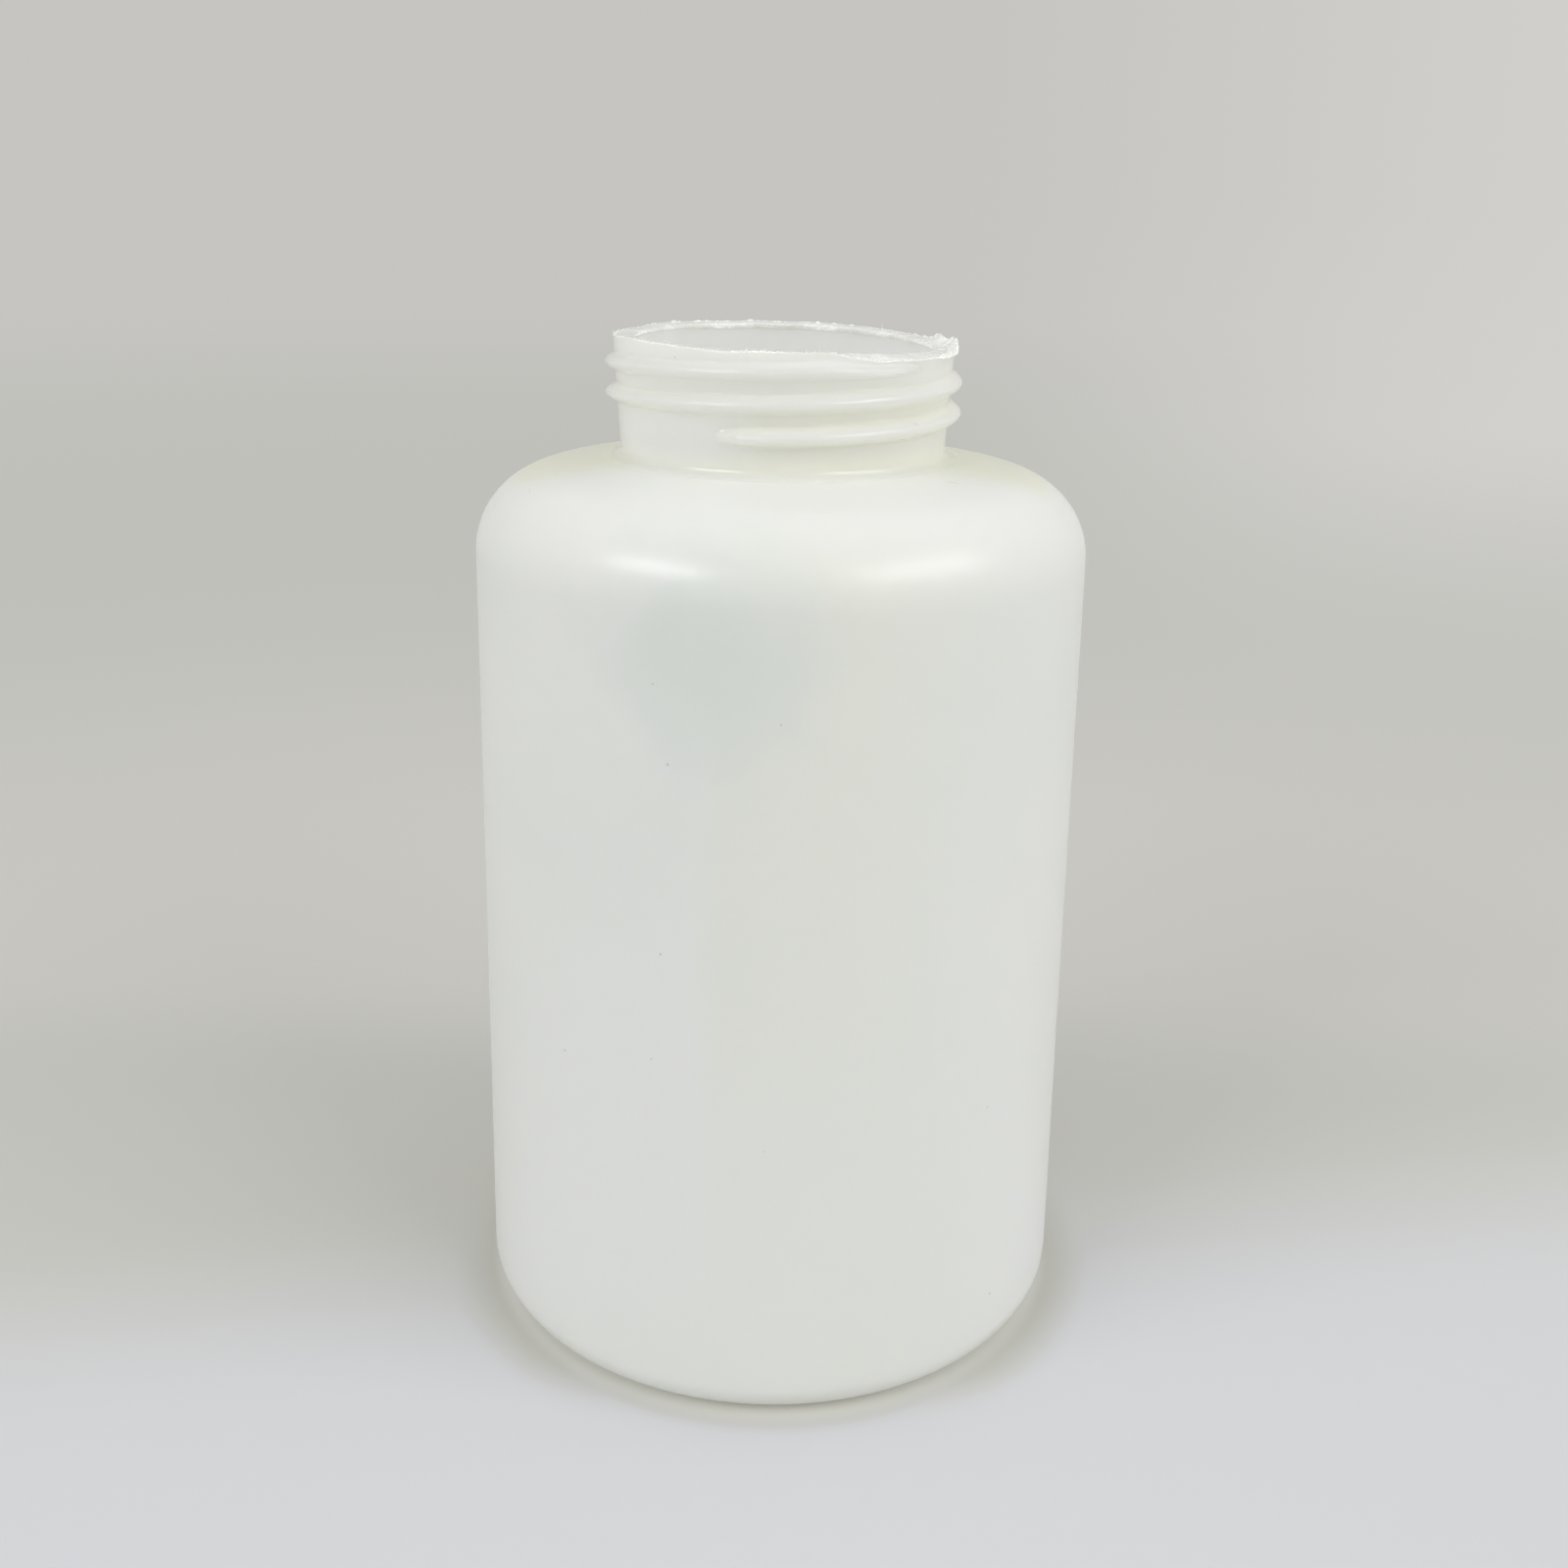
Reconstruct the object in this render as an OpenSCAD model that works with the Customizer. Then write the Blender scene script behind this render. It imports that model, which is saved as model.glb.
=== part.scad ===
// Wide-mouth reagent bottle, blow-moulded in one piece from natural polyethylene.
// It stands on its foot ring at z = 0, with its axis on Z.

/* [Body] */
// Outside diameter of the body
body_d = 80; // [67:1:120]
// Height from the foot ring to the foot of the neck
body_h = 117.2; // [60:0.1:200]
// Thickness of the body wall
wall = 1.3; // [0.8:0.1:2.4]

/* [Shoulder] */
// Outside radius where the wall turns into the shoulder
shoulder_r = 10.7; // [6:0.1:16]
// Slope of the shoulder between that turn and the neck, in degrees
shoulder_slope = 11; // [4:1:30]

/* [Base] */
// Outside radius of the bottom corner
base_corner_r = 5; // [3:0.1:12]
// Width of the flat ring that the bottle stands on
foot_ring_w = 4; // [2:0.1:10]
// Height of the pushed-up middle of the base
push_up = 2.2; // [1.4:0.1:6]
// Width of the pinch-off scar across the base
scar_w = 1.4; // [0.8:0.1:4]
// How far the scar stands out from the pushed-up middle
scar_h = 0.6; // [0.3:0.1:1.2]
// Angle of the mould's parting plane, which the scar follows, from +X
parting_angle = -104; // [-180:1:180]

/* [Neck] */
// Diameter of the mouth
mouth_d = 38.5; // [26:0.1:50]
// Thickness of the neck's wall at its foot
neck_wall = 1.95; // [1.2:0.05:3]
// How much the neck's outside radius grows from its foot to the rim
neck_flare = 0.8; // [0:0.1:1.2]
// Height of the upright stretch at the neck's foot
neck_upright = 2; // [1.2:0.1:3]
// Radius of the fillet between shoulder and neck
neck_foot_r = 1.2; // [0.5:0.1:2]
// Height of the plain neck between the end of the thread and the rim
rim_land = 0.5; // [0.1:0.1:6]

/* [Thread] */
// Height of the thread above the wall at the neck's foot
thread_h = 1.85; // [1.3:0.05:3]
// Rise of the thread in one turn
thread_pitch = 3.9; // [3.6:0.05:8]
// Turns of the thread, its tapered ends included
thread_turns = 2.2; // [0.5:0.05:4]
// Angle where the thread starts, from +X and counted anticlockwise from above
thread_start = -112; // [-180:1:180]
// Height of the middle of the thread, where it starts, above the foot of the neck
thread_lift = 4.6; // [3:0.1:8]
// Width of the thread at its root
thread_root_w = 2.7; // [2:0.1:3.5]
// Width of the thread at its crest
thread_crest_w = 0.8; // [0.5:0.1:1.5]
// Angle over which each end of the thread fades into the neck
thread_fade = 16; // [10:1:80]

/* [Trimmed rim] */
// Height of the frayed edge that the trimming knife leaves
fray_h = 1.4; // [0.3:0.1:2]
// Thickness of the frayed edge
fray_t = 0.45; // [0.3:0.05:0.8]
// Number of nicks in the frayed edge
fray_nicks = 30; // [0:1:40]

/* [Hidden] */
plastic = [0.86, 0.87, 0.84];
facets = 128;
dome_facets = 512;
thread_steps = 48;

body_r = body_d / 2;
mouth_r = mouth_d / 2;
neck_r = mouth_r + neck_wall;
rim_r = neck_r + neck_flare;
neck_h = thread_lift + thread_pitch * thread_turns + thread_root_w / 2 + rim_land;
rim_z = body_h + neck_h;
flare_z = body_h + neck_upright;

// The shoulder turn's centre, placed so that the sloping shoulder meets the neck's foot at body_h
turn_x = body_r - shoulder_r;
turn_z = body_h - shoulder_r / cos(shoulder_slope) - (turn_x - neck_r) * tan(shoulder_slope);

// The underside of the base is part of a ball that meets the foot ring's inner edge
foot_out_r = body_r - base_corner_r;
foot_in_r = foot_out_r - foot_ring_w;
dome_r = (foot_in_r * foot_in_r + push_up * push_up) / (2 * push_up);
dome_z = push_up - dome_r;

// The scar ends where it would come this close to the table
scar_clear = 0.3;
scar_reach = sqrt(dome_r * dome_r - pow(scar_h + scar_clear - dome_z, 2));

// How deep the thread, and the frayed edge, are rooted in the neck's wall
root_depth = 0.8;
fray_inset = 0.06;

// Half width of the thread's section at this share of its height, which rounds its flanks
flank_share = 0.6;
flank_w = thread_crest_w + (thread_root_w - thread_crest_w) * 0.55;

// Height of the shoulder's slope at the radius x, for a surface that lies inset inside the outer one
function slope_z(x, inset) =
    turn_z + (shoulder_r - inset) / cos(shoulder_slope) - (x - turn_x) * tan(shoulder_slope);

// Outside radius of the neck at the height z
function neck_r_at(z) =
    neck_r + neck_flare * min(1, max(0, (z - flare_z) / (rim_z - flare_z)));

// A repeatable number from 0 to 1 for the whole number k
function mix(k) =
    let (s = 43.7 * sin(k * 137.5 + 31))
    s - floor(s);

// Share of its full height that the thread has at the angle a from its start
function thread_share(a) =
    sin(90 * min(1, a / thread_fade, (360 * thread_turns - a) / thread_fade));

// One section of the thread, at the angle a from its start
function thread_section(a) =
    let (
        z = body_h + thread_lift + thread_pitch * a / 360,
        wall_r = neck_r_at(z),
        share = thread_share(a),
        h = (neck_r + thread_h - wall_r + fray_inset) * share - fray_inset,
        turn = thread_start + a,
        outline = [
            [-root_depth, -thread_root_w / 2],
            [0, -thread_root_w / 2],
            [h * flank_share, -flank_w / 2],
            [h, -thread_crest_w / 2],
            [h, thread_crest_w / 2],
            [h * flank_share, flank_w / 2],
            [0, thread_root_w / 2],
            [-root_depth, thread_root_w / 2]
        ]
    )
    [for (p = outline)
        [(wall_r + min(p[0], h)) * cos(turn), (wall_r + min(p[0], h)) * sin(turn), z + p[1]]];

// Half section of the body as a filled outline, inset inside the outer one
module body_section(inset) {
    turn = shoulder_r - inset;
    slope_x = turn_x + turn * sin(shoulder_slope);
    difference() {
        union() {
            translate([0, base_corner_r])
                square([body_r - inset, turn_z - base_corner_r]);
            translate([0, inset])
                square([foot_out_r, turn_z - inset]);
            translate([foot_out_r, base_corner_r])
                circle(r = base_corner_r - inset, $fn = facets);
            translate([turn_x, turn_z])
                circle(r = turn, $fn = facets);
            polygon([
                [0, turn_z],
                [turn_x, turn_z],
                [slope_x, slope_z(slope_x, inset)],
                [mouth_r, slope_z(mouth_r, inset)],
                [0, slope_z(mouth_r, inset)]
            ]);
        }
        translate([0, dome_z])
            circle(r = dome_r + inset, $fn = dome_facets);
    }
}

// Half section of the neck, with the fillet at its foot
module neck_section() {
    fillet_x = neck_r + neck_foot_r;
    fillet_z = slope_z(fillet_x, 0) + neck_foot_r / cos(shoulder_slope);
    touch_x = fillet_x - neck_foot_r * sin(shoulder_slope);
    touch_z = fillet_z - neck_foot_r * cos(shoulder_slope);
    under_z = touch_z - wall / 2;
    polygon([
        [mouth_r, turn_z],
        [neck_r, turn_z],
        [neck_r, flare_z],
        [rim_r, rim_z],
        [mouth_r, rim_z]
    ]);
    difference() {
        polygon([
            [mouth_r, under_z],
            [touch_x, under_z],
            [touch_x, touch_z],
            [fillet_x, fillet_z],
            [mouth_r, fillet_z]
        ]);
        translate([fillet_x, fillet_z])
            circle(r = neck_foot_r, $fn = facets);
    }
}

// The whole wall, turned from one section, with its straight mouth
module shell() {
    rotate_extrude($fn = facets)
        difference() {
            union() {
                body_section(0);
                neck_section();
            }
            body_section(wall);
            translate([0, turn_z])
                square([mouth_r, rim_z - turn_z + 1]);
        }
}

// The thread: a rounded ridge that winds up the neck, right-handed
module thread() {
    steps = ceil(thread_turns * thread_steps);
    sections = [for (i = [0 : steps]) thread_section(360 * thread_turns * i / steps)];
    n = len(sections[0]);
    sides = [for (i = [0 : steps - 1], k = [0 : n - 1])
        let (a = i * n + k, b = i * n + (k + 1) % n)
        [a, b, b + n, a + n]];
    first_end = [for (k = [n - 1 : -1 : 0]) k];
    last_end = [for (k = [0 : n - 1]) steps * n + k];
    polyhedron(points = [for (s = sections) each s], faces = concat(sides, [first_end, last_end]));
}

// The rib that the mould pinches off across the pushed-up base
module pinch_scar() {
    rotate(parting_angle)
        intersection() {
            translate([-scar_reach, -scar_w / 2, 0])
                cube([2 * scar_reach, scar_w, push_up + wall]);
            rotate_extrude($fn = facets)
                intersection() {
                    square([scar_reach, push_up + wall]);
                    translate([0, dome_z])
                        difference() {
                            circle(r = dome_r + wall / 2, $fn = dome_facets);
                            circle(r = dome_r - scar_h, $fn = dome_facets);
                        }
                }
        }
}

// The thin frayed edge that stands on the rim, with nicks of uneven width and depth
module frayed_edge() {
    outer_r = rim_r - fray_inset;
    difference() {
        translate([0, 0, rim_z - root_depth / 2])
            difference() {
                cylinder(r = outer_r, h = fray_h + root_depth / 2, $fn = facets);
                translate([0, 0, -1])
                    cylinder(r = outer_r - fray_t, h = fray_h + root_depth / 2 + 2, $fn = facets);
            }
        for (k = [0 : 1 : fray_nicks - 1])
            rotate((k + 0.6 * mix(k)) * 360 / fray_nicks)
                translate([outer_r - 2 * fray_t, 0, rim_z + fray_h * (0.15 + 0.7 * mix(k + 50))])
                    cube([3 * fray_t, 0.6 + 2 * mix(k + 90), fray_h]);
    }
}

module bottle() {
    color(plastic)
        union() {
            shell();
            thread();
            pinch_scar();
            frayed_edge();
        }
}

bottle();
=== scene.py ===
import math

import bpy
import numpy as np
from mathutils import Matrix, Vector


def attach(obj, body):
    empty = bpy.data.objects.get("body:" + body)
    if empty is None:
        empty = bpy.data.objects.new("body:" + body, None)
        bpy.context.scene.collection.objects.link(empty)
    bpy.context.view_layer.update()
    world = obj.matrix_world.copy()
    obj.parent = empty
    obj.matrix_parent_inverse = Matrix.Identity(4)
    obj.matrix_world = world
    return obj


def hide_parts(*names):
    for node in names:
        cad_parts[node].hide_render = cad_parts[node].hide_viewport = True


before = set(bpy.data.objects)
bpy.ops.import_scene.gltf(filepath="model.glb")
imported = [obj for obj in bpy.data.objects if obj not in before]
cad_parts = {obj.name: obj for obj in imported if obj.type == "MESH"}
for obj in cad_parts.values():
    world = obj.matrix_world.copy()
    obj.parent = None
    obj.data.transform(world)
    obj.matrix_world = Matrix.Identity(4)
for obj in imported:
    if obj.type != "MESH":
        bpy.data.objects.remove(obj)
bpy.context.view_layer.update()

mm = 0.001


def srgbToLinear(hexColour):
    # sRGB hex to a shader socket's linear colour: c/12.92 below 0.04045, else ((c+0.055)/1.055)^2.4
    parts = [int(hexColour[i:i + 2], 16) / 255 for i in (1, 3, 5)]
    return [c / 12.92 if c <= 0.04045 else ((c + 0.055) / 1.055) ** 2.4 for c in parts] + [1.0]


def addNode(tree, kind, inputs=None, **settings):
    # one node: settings are its own properties, and inputs gives its sockets a link, a value or a hex colour
    node = tree.nodes.new(kind)
    for key, value in settings.items():
        setattr(node, key, value)
    for key, given in (inputs or {}).items():
        if isinstance(given, bpy.types.NodeSocket):
            tree.links.new(given, node.inputs[key])
        else:
            node.inputs[key].default_value = srgbToLinear(given) if isinstance(given, str) else given
    return node


def overlap(tree, *steps):
    # the product of its steps: each is a ready share, or (measure, start, end), eased from 0 up to 1
    shares = []
    for step in steps:
        if isinstance(step, tuple):
            measure, start, end = step
            step = addNode(tree, "ShaderNodeMapRange", {"Value": measure, "From Min": start, "From Max": end},
                           interpolation_type="SMOOTHSTEP").outputs[0]
        shares.append(step)
    product = shares[0]
    for share in shares[1:]:
        product = addNode(tree, "ShaderNodeMath", {0: product, 1: share}, operation="MULTIPLY").outputs[0]
    return product


def layTones(tree, tone, *layers):
    # tones laid one over another: each layer is its own tone, then the steps whose overlap is where it shows
    for layer, *steps in layers:
        share = overlap(tree, *steps)
        tone = addNode(tree, "ShaderNodeMix", {0: share, 6: tone, 7: layer}, data_type="RGBA").outputs[2]
    return tone


def newMaterial(name):
    # an empty node material
    material = bpy.data.materials.new(name)
    material.use_nodes = True
    tree = material.node_tree
    tree.nodes.clear()
    return material, tree


cameraPlace = {
    "distance": 226.92 * mm,  # in front of the bottle's axis
    "height": 150.91 * mm,
    "pitch": 0.2598,  # tipped down, in radians
    "yaw": 0.0027,
    "roll": 0.0168,
    "focalPixels": 1772.7,  # for a square frame of frameSide pixels, whose optical axis lies on axisRow
    "frameSide": 1600,
    "axisRow": 660.87,
    "sensor": 36,
    "nearest": 0.01,
    "farthest": 20,
}


def makeCamera(p):
    # looks along +Y, tipped down by pitch, and the shift puts the optical axis above the middle of the frame
    cosYaw, sinYaw = math.cos(p["yaw"]), math.sin(p["yaw"])
    cosPitch, sinPitch = math.cos(p["pitch"]), math.sin(p["pitch"])
    cosRoll, sinRoll = math.cos(p["roll"]), math.sin(p["roll"])
    forward = np.array([sinYaw * cosPitch, cosYaw * cosPitch, -sinPitch])
    level = np.array([cosYaw, -sinYaw, 0.0])
    upright = np.cross(level, forward)
    place = np.eye(4)
    place[:3, 0] = cosRoll * level + sinRoll * upright
    place[:3, 1] = cosRoll * upright - sinRoll * level
    place[:3, 2] = -forward
    place[:3, 3] = [0, -p["distance"], p["height"]]
    data = bpy.data.cameras.new("camera")
    camera = bpy.data.objects.new("camera", data)
    bpy.context.scene.collection.objects.link(camera)
    camera.matrix_world = Matrix(place.tolist())
    data.sensor_width = p["sensor"]
    data.lens = p["sensor"] * p["focalPixels"] / p["frameSide"]
    data.shift_y = (p["axisRow"] - p["frameSide"] / 2) / p["frameSide"]
    data.clip_start = p["nearest"]
    data.clip_end = p["farthest"]
    bpy.context.scene.camera = camera


makeCamera(cameraPlace)
print("camera placed")

# lengths in millimetres, angles in degrees round the axis from the right-hand side
bottleForm = {
    "bodyRadius": 40.0,
    "cornerRadius": 5.0,
    "footInner": 31.0,
    "footOuter": 35.0,
    "footLift": 0.006,  # of the foot ring's inner edge
    "pushUp": 2.2,
    "wall": 1.3,
    "shoulderRadius": 10.7,
    "shoulderSlope": 11.0,
    "neckFoot": 117.2,
    "neckRadius": 21.2,
    "neckFillet": 1.2,
    "neckUpright": 2.0,  # above its foot the neck rises this far before it widens
    "rimRadius": 22.0,
    "rimHeight": 132.23,
    "rimEdge": 0.08,  # radius of the rim's outer edge, and of its inner edge
    "mouthEdge": 0.3,
    "mouthRadius": 19.25,
    "boreFoot": 1.2,  # radius where the bore opens into the shoulder
    "threadCrest": 23.05,
    "threadPitch": 3.9,
    "threadTurns": 2.2,
    "threadStart": -112.0,
    "threadLift": 4.6,
    "threadHalfWidth": 1.25,
    "threadUneven": 0.12,
    "threadFade": 16.0,
    "threadTaper": 0.55,  # share of its width that the thread keeps at its ends
    "threadBlunt": 0.9,  # power of its cosine ridge: the lower, the blunter
    "threadRows": 120.4,  # height from which the rows are fine enough for the thread
    "partingAngle": -104.0,
    "partingHeight": 0.02,
    "partingWidth": 0.45,
    "partingOnBody": (6.0, 112.0, 0.5),  # from, to, and share of its height on the neck
    "rimStretch": 3.0,  # how far below the rim the knife's cut is felt
    "scarWidth": 1.4,  # of the pinch-off scar, which hangs from the underside and stays clear of the ground
    "scarHeight": 0.6,
    "scarClear": 0.3,
    "scarBelow": 3.0,
    # the blown wall is uneven between two heights: lumps round it, which twist and fade in and out upwards
    "unevenBetween": (8.0, 100.0),
    "unevenDepth": 0.12,
    "unevenLumps": [(5, 0.6), (9, 0.4)],
    "unevenTwist": 0.25,
    "unevenRise": 17.0,
    # how far the knife's cut lies above or below the nominal rim, by angle, along its outer and inner edge
    "outerCut": [
        (-180, -0.12), (-165, 0.1), (-152, 0.35), (-142, 0.13), (-129, 0.07), (-117, -0.14), (-107, -0.35),
        (-98, -0.1), (-88, -0.2), (-77, -0.05), (-73, -0.3), (-67, -0.95), (-58, -1.3), (-41, -1.4),
        (-25, -1.4), (-5, -1.15), (12, -0.95), (29, -0.77), (43, -0.5), (52, -0.32), (72, 0.05), (90, 0.14),
        (104, 0.19), (124, 0.27), (140, 0.28), (152, 0.0), (172, -0.12),
    ],
    "innerCut": [
        (-180, -0.1), (-150, 0.05), (-120, -0.12), (-100, -0.2), (-85, -0.2), (-71, -0.42), (-61, -0.55),
        (-40, -0.85), (-18, -1.05), (5, -1.05), (29, -0.8), (50, -0.4), (72, 0.0), (104, 0.12), (140, 0.2),
        (160, 0.0),
    ],
    "cutSpread": (3.0, 8.0),  # how far the two curves are averaged, in degrees
    "chatter": [(60, 0.05), (150, 0.035)],
    "columns": 360,
    "partingColumns": [-0.75, -0.5, -0.25, 0.25, 0.5, 0.75],
    # how many points each stretch of the section has, up the outside and down the inside
    "rows": {
        "push": 22, "foot": 4, "corner": 13, "wall": 26, "bend": 18, "slope": 7, "fillet": 7,
        "neck": 4, "thread": 78, "edge": 3, "land": 5,
        "bore": 16, "boreFoot": 4, "innerSlope": 6, "innerBend": 14, "innerWall": 16, "innerCorner": 9,
        "floor": 12,
    },
}

# which stretch of the section a point is on
bodyZone, neckZone, rimZone, insideZone = range(4)


def arc(cx, cz, radius, start, end, count):
    # points of an arc in the radius-height plane, by angle in degrees
    t = np.radians(np.linspace(start, end, count))
    return np.stack([cx + radius * np.cos(t), cz + radius * np.sin(t)], 1)


def line(r0, z0, r1, z1, count):
    # points of a straight run in the radius-height plane: start times 1-t plus end times t
    t = np.linspace(0, 1, count)[:, None]
    return np.array([[r0, z0]]) * (1 - t) + np.array([[r1, z1]]) * t


def valueNoise(x, seed, period):
    # smooth periodic noise: random heights at whole steps, joined by a cubic ease
    rng = np.random.default_rng(seed)
    heights = rng.uniform(-1, 1, period)
    i = np.floor(x).astype(int)
    f = x - i
    f = f * f * (3 - 2 * f)
    return heights[i % period] * (1 - f) + heights[(i + 1) % period] * f


def roundNoise(angle, seed, waves):
    # periodic noise round the axis, summed over waves: how many lumps a turn has, and how much they weigh
    turn = np.mod(angle, 360.0) / 360.0
    return sum(valueNoise(turn * n, seed + n, n) * w for n, w in waves)


def throughAngles(angle, table, spread):
    # a smooth closed curve through (angle, value) pairs: straight runs between them, averaged along the angle
    known, values = np.array(table, float).T
    known = np.concatenate([known - 360, known, known + 360])
    values = np.tile(values, 3)
    angle = np.mod(angle + 180, 360) - 180
    return sum(np.interp(angle + spread * k, known, values) for k in (-1, -0.5, 0, 0.5, 1)) / 5


def cutHeight(f, angle, inward):
    # the cut over the nominal rim: the outer edge's curve, blended inwards to the inner one's, plus chatter
    outer = throughAngles(angle, f["outerCut"], f["cutSpread"][0])
    inner = throughAngles(angle, f["innerCut"], f["cutSpread"][1])
    return outer + (inner - outer) * inward + roundNoise(angle, seed=11, waves=f["chatter"])


def neckWall(z, f):
    # outside radius of the neck without its thread: upright at the foot, then widening evenly to the rim
    low = f["neckFoot"] + f["neckUpright"]
    rise = np.clip((z - low) / (f["rimHeight"] - low), 0, 1)
    return f["neckRadius"] + (f["rimRadius"] - f["neckRadius"]) * rise


def bottleProfile(f):
    # the section from the middle of the underside, out over the wall to the rim, and down the inside again:
    # the base is part of a sphere, as high as the push-up, every bend is a circular arc, the rest is straight
    rows = f["rows"]
    wall = f["wall"]
    mouth = f["mouthRadius"]
    rimZ = f["rimHeight"]
    slope = math.radians(f["shoulderSlope"])
    bendEnd = 90 - f["shoulderSlope"]
    bendR = f["bodyRadius"] - f["shoulderRadius"]
    slopeFall = (bendR - f["neckRadius"]) * math.tan(slope)
    bendZ = f["neckFoot"] - f["shoulderRadius"] / math.cos(slope) - slopeFall
    domeR = (f["footInner"] ** 2 + f["pushUp"] ** 2) / (2 * f["pushUp"])
    domeZ = f["pushUp"] - domeR
    poleGap = 0.8  # radius of the first and last ring
    short = 3.0  # straight walls' points keep this far from the bends
    shy = 1.0  # and the slope's points this far past them

    def slopeZ(r, inset):
        # the shoulder's height at a radius: the bend's middle, plus its radius over the cosine, less the fall
        return bendZ + (f["shoulderRadius"] - inset) / math.cos(slope) - (r - bendR) * math.tan(slope)

    def slopeRun(start, end, inset, count):
        # along the shoulder's slope between two radii
        r = line(start, 0, end, 0, count)[:, 0]
        return np.stack([r, slopeZ(r, inset)], 1)

    def domeRun(start, end, radius, count):
        # along the pushed-up base between two radii: the sphere's middle plus the root of radius^2 - r^2
        r = np.linspace(start, end, count)
        return np.stack([r, domeZ + np.sqrt(radius ** 2 - r ** 2)], 1)

    # each stretch stops a little short of the next, so that no two points meet
    filletR = f["neckRadius"] + f["neckFillet"]
    filletZ = slopeZ(filletR, 0) + f["neckFillet"] / math.cos(slope)
    body = np.concatenate([
        domeRun(poleGap, f["footInner"] - 0.25, domeR, rows["push"]),
        line(f["footInner"], f["footLift"], f["footOuter"] - 0.3, 0.0, rows["foot"]),
        arc(f["footOuter"], f["cornerRadius"], f["cornerRadius"], -88, 0, rows["corner"]),
        line(f["bodyRadius"], f["cornerRadius"] + short, f["bodyRadius"], bendZ - short, rows["wall"]),
        arc(bendR, bendZ, f["shoulderRadius"], 0, bendEnd, rows["bend"]),
        slopeRun(bendR + f["shoulderRadius"] * math.sin(slope) - shy, filletR + 0.4, 0, rows["slope"]),
        arc(filletR, filletZ, f["neckFillet"], 270 - f["shoulderSlope"], 180, rows["fillet"]),
    ])
    neck = np.concatenate([
        line(f["neckRadius"], filletZ + 0.5, f["neckRadius"], f["threadRows"] - 0.2, rows["neck"]),
        line(f["neckRadius"], f["threadRows"], f["rimRadius"], rimZ - 0.35, rows["thread"]),
    ])
    neck[:, 0] = neckWall(neck[:, 1], f)
    rim = np.concatenate([
        arc(f["rimRadius"] - f["rimEdge"], rimZ - f["rimEdge"], f["rimEdge"], 10, 80, rows["edge"]),
        line(f["rimRadius"] - 0.6, rimZ, mouth + 0.7, rimZ, rows["land"]),
        arc(mouth + f["mouthEdge"], rimZ - f["mouthEdge"], f["mouthEdge"], 100, 170, rows["edge"]),
    ])
    innerBend = f["shoulderRadius"] - wall
    boreEnd = slopeZ(mouth + 1.5, wall)
    inside = np.concatenate([
        line(mouth, rimZ - 0.7, mouth, boreEnd + 1.6, rows["bore"]),
        arc(mouth + f["boreFoot"], boreEnd + 1.0, f["boreFoot"], 190, 255, rows["boreFoot"]),
        slopeRun(mouth + 2.0, bendR + innerBend * math.sin(slope) - shy, wall, rows["innerSlope"]),
        arc(bendR, bendZ, innerBend, bendEnd, 0, rows["innerBend"]),
        line(f["bodyRadius"] - wall, bendZ - short, f["bodyRadius"] - wall, f["cornerRadius"] + short,
             rows["innerWall"]),
        arc(f["footOuter"], f["cornerRadius"], f["cornerRadius"] - wall, 0, -80, rows["innerCorner"]),
        domeRun(f["footInner"] - 1.0, poleGap, domeR + wall, rows["floor"]),
    ])
    stretches = [body, neck, rim, inside]
    zone = np.repeat([bodyZone, neckZone, rimZone, insideZone], [len(s) for s in stretches])
    return np.concatenate(stretches), zone, (domeZ + domeR, domeZ + domeR + wall)


def threadHeight(angle, z, wall, f):
    # how far the thread stands out: for each turn, full height times its fade times a rounded cosine ridge
    out = np.zeros_like(z)
    lower = f["neckFoot"] + f["threadLift"]
    full = 360 * f["threadTurns"]
    width = f["threadHalfWidth"] * (1 + f["threadUneven"] * np.cos(np.radians(angle)))
    for turn in range(math.ceil(f["threadTurns"])):
        along = np.mod(angle - f["threadStart"], 360) + 360 * turn
        share = np.clip(np.minimum(along, full - along) / f["threadFade"], 0, 1)
        share = np.where((along > 0) & (along < full), np.sin(share * np.pi / 2), 0)
        reach = width * (f["threadTaper"] + (1 - f["threadTaper"]) * share)
        off = (z - lower - f["threadPitch"] * along / 360) / reach
        ridge = np.cos(np.clip(off, -1, 1) * np.pi / 2) ** f["threadBlunt"]
        out = np.maximum(out, (f["threadCrest"] - wall) * share * ridge)
    return out


def makeMesh(name, points, quads, tris, material):
    # points in millimetres become an object at the origin, in metres
    mesh = bpy.data.meshes.new(name)
    loops = np.concatenate([quads.ravel(), tris.ravel()]).astype(np.int32)
    quadStarts = np.arange(len(quads)) * 4
    triStarts = len(quads) * 4 + np.arange(len(tris)) * 3
    starts = np.concatenate([quadStarts, triStarts]).astype(np.int32)
    mesh.vertices.add(len(points))
    mesh.vertices.foreach_set("co", (points * mm).astype(np.float32).ravel())
    mesh.loops.add(len(loops))
    mesh.loops.foreach_set("vertex_index", loops)
    mesh.polygons.add(len(starts))
    mesh.polygons.foreach_set("loop_start", starts)
    mesh.update(calc_edges=True)
    mesh.validate()
    mesh.polygons.foreach_set("use_smooth", np.ones(len(mesh.polygons), bool))
    mesh.materials.append(material)
    thing = bpy.data.objects.new(name, mesh)
    bpy.context.scene.collection.objects.link(thing)
    return thing


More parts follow.
